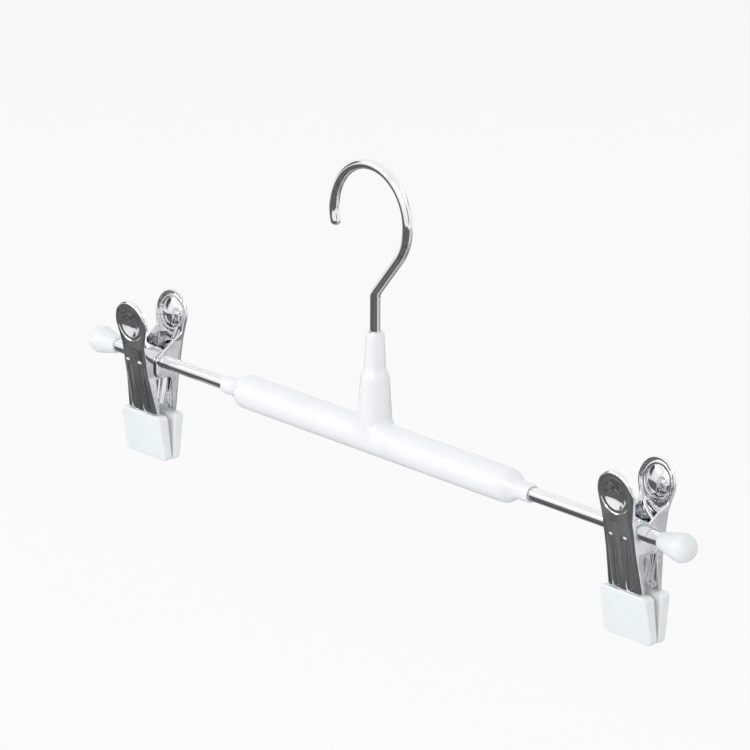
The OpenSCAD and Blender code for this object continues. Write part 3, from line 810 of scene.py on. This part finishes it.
sleeve = make_sleeve()
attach(sleeve, "bar")
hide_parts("sleeve")

knobs = []
for side, node in ((-1, "left_end_knob"), (1, "right_end_knob")):
    knob = make_knob(side, node.replace("end_knob", "knob_ball"))
    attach(knob, "bar")
    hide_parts(node)
    knobs.append(knob)

outer_jaw = make_jaw(OUTER_WAIST, "outer_jaw")
inner_jaw = make_jaw(INNER_WAIST, "inner_jaw")
tip = make_tip("tip")
coil, back_leg, front_leg, coil_len = make_spring()

jaws, tips, springs = [], [], []
for place, x, turn in (("right", RIGHT_CLIP_X, PLAIN), ("left", LEFT_CLIP_X, TURNED)):
    front_is_outer = place == "right"
    for part, pattern, way, outer in (
            ("jaw", outer_jaw, PLAIN, True), ("jaw", inner_jaw, OTHER_WAY, False),
            ("tip", tip, PLAIN, True), ("tip", tip, OTHER_WAY, False)):
        face = "front" if outer == front_is_outer else "back"
        kind = "pressed_jaw" if part == "jaw" else "soft_tip"
        made = copied(pattern, f"{place}_{face}_{kind}", turn @ way, x)
        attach(made, f"{place}_clip_{face}")
        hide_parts(f"{place}_clip_{face}_{part}")
        (jaws if part == "jaw" else tips).append(made)
    for pattern, outer in ((front_leg, True), (back_leg, False), (coil, None)):
        if outer is None:
            made = copied(pattern, f"{place}_spring_coil", turn, x)
            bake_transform(made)
        else:
            face = "front" if outer == front_is_outer else "back"
            made = copied(pattern, f"{place}_spring_{face}_leg", turn, x)
            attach(made, f"{place}_clip_{face}")
        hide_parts(f"{place}_clip_spring")
        springs.append(made)

for pattern in (outer_jaw, inner_jaw, tip, coil, back_leg, front_leg):
    bpy.data.objects.remove(pattern)

# Materials


def new_group(name, inputs, outputs):
    group = bpy.data.node_groups.new(name, "ShaderNodeTree")
    for label, value in inputs:
        socket = group.interface.new_socket(name=label, in_out="INPUT",
                                            socket_type="NodeSocketFloat")
        socket.default_value = value
    for label in outputs:
        group.interface.new_socket(name=label, in_out="OUTPUT", socket_type="NodeSocketFloat")
    return group, group.nodes.new("NodeGroupInput"), group.nodes.new("NodeGroupOutput")


def feed(tree, socket, value):
    """Sets a socket to a number, or links another node's output to it."""
    if isinstance(value, (int, float)):
        socket.default_value = value
    else:
        tree.links.new(value, socket)


def math_node(tree, operation, *values):
    node = tree.nodes.new("ShaderNodeMath")
    node.operation = operation
    for socket, value in zip(node.inputs, values):
        feed(tree, socket, value)
    return node.outputs[0]


def noise(tree, vector, scale, detail, roughness):
    node = tree.nodes.new("ShaderNodeTexNoise")
    tree.links.new(vector, node.inputs["Vector"])
    feed(tree, node.inputs["Scale"], scale)
    node.inputs["Detail"].default_value = detail
    node.inputs["Roughness"].default_value = roughness
    return node.outputs["Fac"]


def ramp(tree, value, low, high):
    node = tree.nodes.new("ShaderNodeMapRange")
    node.interpolation_type = "SMOOTHSTEP"
    tree.links.new(value, node.inputs["Value"])
    node.inputs["From Min"].default_value = low
    node.inputs["From Max"].default_value = high
    return node.outputs["Result"]


def mixed(tree, share, a, b):
    node = tree.nodes.new("ShaderNodeMix")
    node.data_type = "RGBA"
    tree.links.new(share, node.inputs["Factor"])
    node.inputs["A"].default_value = (*a, 1)
    node.inputs["B"].default_value = (*b, 1)
    return node.outputs["Result"]


def make_wear_group():
    """Handling wear: soft smudges, fine scratches in two directions, and the slow ripple of a
    plated or moulded face."""
    group, given, out = new_group(
        "handling_wear",
        (("Smudge Scale", 60.0), ("Scratch Scale", 900.0), ("Ripple Scale", 240.0)),
        ("Smudge", "Scratches", "Ripple"))
    place = group.nodes.new("ShaderNodeTexCoord").outputs["Object"]
    smudge = ramp(group, noise(group, place, given.outputs["Smudge Scale"], 5.0, 0.6), 0.46, 0.68)
    lines = []
    for turn in ((0.2, 0.5, 0.3), (1.1, -0.4, 0.9)):
        mapping = group.nodes.new("ShaderNodeMapping")
        group.links.new(place, mapping.inputs["Vector"])
        mapping.inputs["Rotation"].default_value = turn
        mapping.inputs["Scale"].default_value = (1.0, 0.05, 1.0)
        streaks = noise(group, mapping.outputs["Vector"], given.outputs["Scratch Scale"], 2.0, 0.5)
        lines.append(ramp(group, streaks, 0.67, 0.74))
    scratches = math_node(group, "MAXIMUM", *lines)
    ripple = noise(group, place, given.outputs["Ripple Scale"], 2.0, 0.45)
    for label, value in (("Smudge", smudge), ("Scratches", scratches), ("Ripple", ripple)):
        group.links.new(value, out.inputs[label])
    return group


WEAR = make_wear_group()


def finish_material(name, clean, worn, roughness, smudge_add, scratch_add, ripple, scales,
                    **plain):
    """A Principled material with its own values of handling wear. The ripple is in mm."""
    material = bpy.data.materials.new(name)
    material.use_nodes = True
    tree = material.node_tree
    shader = tree.nodes["Principled BSDF"]
    wear = tree.nodes.new("ShaderNodeGroup")
    wear.node_tree = WEAR
    for label, value in zip(("Smudge Scale", "Scratch Scale", "Ripple Scale"), scales):
        wear.inputs[label].default_value = value
    tree.links.new(mixed(tree, wear.outputs["Smudge"], clean, worn), shader.inputs["Base Color"])
    rough = math_node(tree, "MULTIPLY_ADD", wear.outputs["Smudge"], smudge_add, roughness)
    scratched = math_node(tree, "MULTIPLY_ADD", wear.outputs["Scratches"], scratch_add, rough)
    tree.links.new(scratched, shader.inputs["Roughness"])
    bump = tree.nodes.new("ShaderNodeBump")
    bump.inputs["Strength"].default_value = 1.0
    bump.inputs["Distance"].default_value = 1.0
    height = math_node(tree, "MULTIPLY", wear.outputs["Ripple"], ripple * MM)
    tree.links.new(height, bump.inputs["Height"])
    tree.links.new(bump.outputs["Normal"], shader.inputs["Normal"])
    for socket, value in plain.items():
        shader.inputs[socket.replace("_", " ")].default_value = value
    return material


chrome = finish_material(
    "bright_chrome_plate", clean=(0.86, 0.87, 0.885), worn=(0.78, 0.79, 0.81), roughness=0.045,
    smudge_add=0.07, scratch_add=0.12, ripple=0.006, scales=(70.0, 1400.0, 260.0),
    Metallic=1.0)
pressed_chrome = finish_material(
    "chrome_plate_on_pressed_sheet", clean=(0.84, 0.85, 0.865), worn=(0.72, 0.73, 0.755),
    roughness=0.06, smudge_add=0.09, scratch_add=0.16, ripple=0.016,
    scales=(120.0, 1700.0, 420.0), Metallic=1.0)
spring_steel = finish_material(
    "nickel_plated_spring_wire", clean=(0.68, 0.69, 0.71), worn=(0.52, 0.53, 0.56),
    roughness=0.16, smudge_add=0.1, scratch_add=0.14, ripple=0.01,
    scales=(260.0, 2200.0, 700.0), Metallic=1.0)
gloss_white = finish_material(
    "gloss_white_moulding", clean=(0.93, 0.94, 0.95), worn=(0.9, 0.91, 0.925), roughness=0.13,
    smudge_add=0.06, scratch_add=0.1, ripple=0.02, scales=(45.0, 800.0, 120.0),
    Coat_Weight=0.25, Coat_Roughness=0.05)
soft_white = finish_material(
    "soft_milky_vinyl", clean=(0.89, 0.92, 0.92), worn=(0.85, 0.885, 0.885), roughness=0.38,
    smudge_add=0.12, scratch_add=0.08, ripple=0.03, scales=(110.0, 1200.0, 900.0),
    Subsurface_Weight=0.25, Subsurface_Scale=0.0015)

for pieces, material in (([hook, rod], chrome), (jaws, pressed_chrome), (springs, spring_steel),
                         ([sleeve], gloss_white), (knobs + tips, soft_white)):
    for piece in pieces:
        piece.data.materials.clear()
        piece.data.materials.append(material)

# Studio

FLOOR_Z = -0.27
FLOOR_GLOW_SHARE = 0.8
AIM = (0, 0, -0.07)


def seen_rays(tree):
    """1 for rays from the camera, from a glossy surface and through a clear one, else 0."""
    path = tree.nodes.new("ShaderNodeLightPath")
    seen = math_node(tree, "MAXIMUM", path.outputs["Is Camera Ray"], path.outputs["Is Glossy Ray"])
    return math_node(tree, "MAXIMUM", seen, path.outputs["Is Transmission Ray"])


def mix_shaders(tree, share, one, two, out):
    blend = tree.nodes.new("ShaderNodeMixShader")
    tree.links.new(share, blend.inputs["Fac"])
    tree.links.new(one.outputs[0], blend.inputs[1])
    tree.links.new(two.outputs[0], blend.inputs[2])
    tree.links.new(blend.outputs[0], out.inputs["Surface"])


bpy.ops.mesh.primitive_plane_add(size=30, location=(0, 0, FLOOR_Z))
floor = settle(bpy.context.object, "floor")
paper = bpy.data.materials.new("pale_floor")
paper.use_nodes = True
tree = paper.node_tree
shader = tree.nodes["Principled BSDF"]
shader.inputs["Base Color"].default_value = (0.92, 0.92, 0.92, 1)
shader.inputs["Roughness"].default_value = 0.9
shader.inputs["Specular IOR Level"].default_value = 0.0
glow = tree.nodes.new("ShaderNodeEmission")
glow.inputs["Color"].default_value = (1, 1, 1, 1)
glow.inputs["Strength"].default_value = 1.0
mix_shaders(tree, math_node(tree, "MULTIPLY", seen_rays(tree), FLOOR_GLOW_SHARE), shader, glow,
            tree.nodes["Material Output"])
floor.data.materials.append(paper)

world = bpy.data.worlds.new("studio")
bpy.context.scene.world = world
world.use_nodes = True
tree = world.node_tree
tree.nodes.clear()
soft = tree.nodes.new("ShaderNodeBackground")
soft.inputs["Color"].default_value = (0.95, 0.97, 1.0, 1)
soft.inputs["Strength"].default_value = 0.6
pale = tree.nodes.new("ShaderNodeBackground")
pale.inputs["Color"].default_value = (1, 1, 1, 1)
pale.inputs["Strength"].default_value = 1.0
mix_shaders(tree, seen_rays(tree), soft, pale, tree.nodes.new("ShaderNodeOutputWorld"))


def add_lamp(name, place, width, height, power):
    """A soft box: an area lamp that faces the hanger."""
    lamp = bpy.data.lights.new(name, "AREA")
    lamp.shape = "RECTANGLE"
    lamp.size, lamp.size_y, lamp.energy = width, height, power
    obj = link(bpy.data.objects.new(name, lamp))
    obj.location = place
    obj.rotation_euler = (Vector(place) - Vector(AIM)).to_track_quat("Z", "Y").to_euler()


add_lamp("key_soft_box", (0.5, -1.7, 0.9), 1.1, 0.8, 12.5)
add_lamp("left_strip_box", (-1.0, -0.92, 0.58), 1.3, 0.12, 4.5)
add_lamp("back_strip_box", (0.9, 1.6, 1.1), 1.4, 0.4, 8)


def add_card(name, place, aim, width, height, dark, light, soft_edge=0.3):
    """A card beside the set, which only glossy surfaces show: mottled between two tones, with
    soft edges."""
    bpy.ops.mesh.primitive_plane_add(size=1, location=(0, 0, 0))
    card = bpy.context.object
    facing = (Vector(place) - Vector(aim)).to_track_quat("Z", "Y").to_matrix().to_4x4()
    card.data.transform(
        Matrix.Translation(place) @ facing @ Matrix.Diagonal((width, height, 1, 1)))
    card.name = name
    material = bpy.data.materials.new(name)
    material.use_nodes = True
    tree = material.node_tree
    tree.nodes.clear()
    coordinates = tree.nodes.new("ShaderNodeTexCoord")
    mottle = ramp(tree, noise(tree, coordinates.outputs["Object"], 16.0, 3.0, 0.55), 0.32, 0.68)
    tones = mixed(tree, mottle, (dark, dark, dark * 1.04), (light, light, light * 1.02))
    glow = tree.nodes.new("ShaderNodeEmission")
    tree.links.new(tones, glow.inputs["Color"])
    # the two distances from the card's middle fade it out to its edges
    parts = tree.nodes.new("ShaderNodeSeparateXYZ")
    tree.links.new(coordinates.outputs["UV"], parts.inputs[0])
    fades = []
    for axis in (0, 1):
        off = math_node(tree, "ABSOLUTE", math_node(tree, "SUBTRACT", parts.outputs[axis], 0.5))
        fades.append(ramp(tree, off, 0.5, 0.5 - soft_edge))
    mix_shaders(tree, math_node(tree, "MULTIPLY", *fades),
                tree.nodes.new("ShaderNodeBsdfTransparent"), glow,
                tree.nodes.new("ShaderNodeOutputMaterial"))
    card.data.materials.append(material)
    card.visible_camera = card.visible_diffuse = card.visible_shadow = False
    card.visible_transmission = card.visible_volume_scatter = False


def lying(x, y):
    """The place and the aim of a card that lies just over the floor."""
    return (x, y, FLOOR_Z + 0.03), (x, y, 1)


add_card("dark_card_below", *lying(0.0, -0.45), 2.0, 1.2, 0.06, 0.2, 0.14)
add_card("dusk_card_behind", *lying(-0.35, 0.35), 1.4, 0.7, 0.12, 0.34, 0.2)
add_card("grey_card_behind", *lying(0.5, 0.5), 1.0, 0.8, 0.36, 0.72, 0.3)
add_card("dark_card_left", (-1.3, -0.5, 0.25), AIM, 0.8, 1.1, 0.03, 0.1)
add_card("dark_card_right", (1.2, -0.2, 0.2), AIM, 0.5, 0.9, 0.04, 0.1)
add_card("dark_card_back", (0.2, 1.5, 0.35), AIM, 1.0, 0.7, 0.04, 0.12)

# Camera

CAMERA_PLACE = Vector((1.2712, -1.1443, 0.4799))
CAMERA_AIM = Vector((0.0025, 0.0, -0.0760))
CAMERA_UP = Vector((-0.23538, 0.20809, 0.94936))
back = (CAMERA_PLACE - CAMERA_AIM).normalized()
right = CAMERA_UP.cross(back).normalized()
up = back.cross(right)
camera = link(bpy.data.objects.new("camera", bpy.data.cameras.new("camera")))
camera.matrix_world = Matrix.Translation(CAMERA_PLACE) @ Matrix(
    (right, up, back)).transposed().to_4x4()
camera.data.sensor_width = 36
camera.data.lens = 240
camera.data.clip_start, camera.data.clip_end = 0.05, 60
bpy.context.scene.camera = camera
bpy.context.scene.view_settings.view_transform = "Standard"
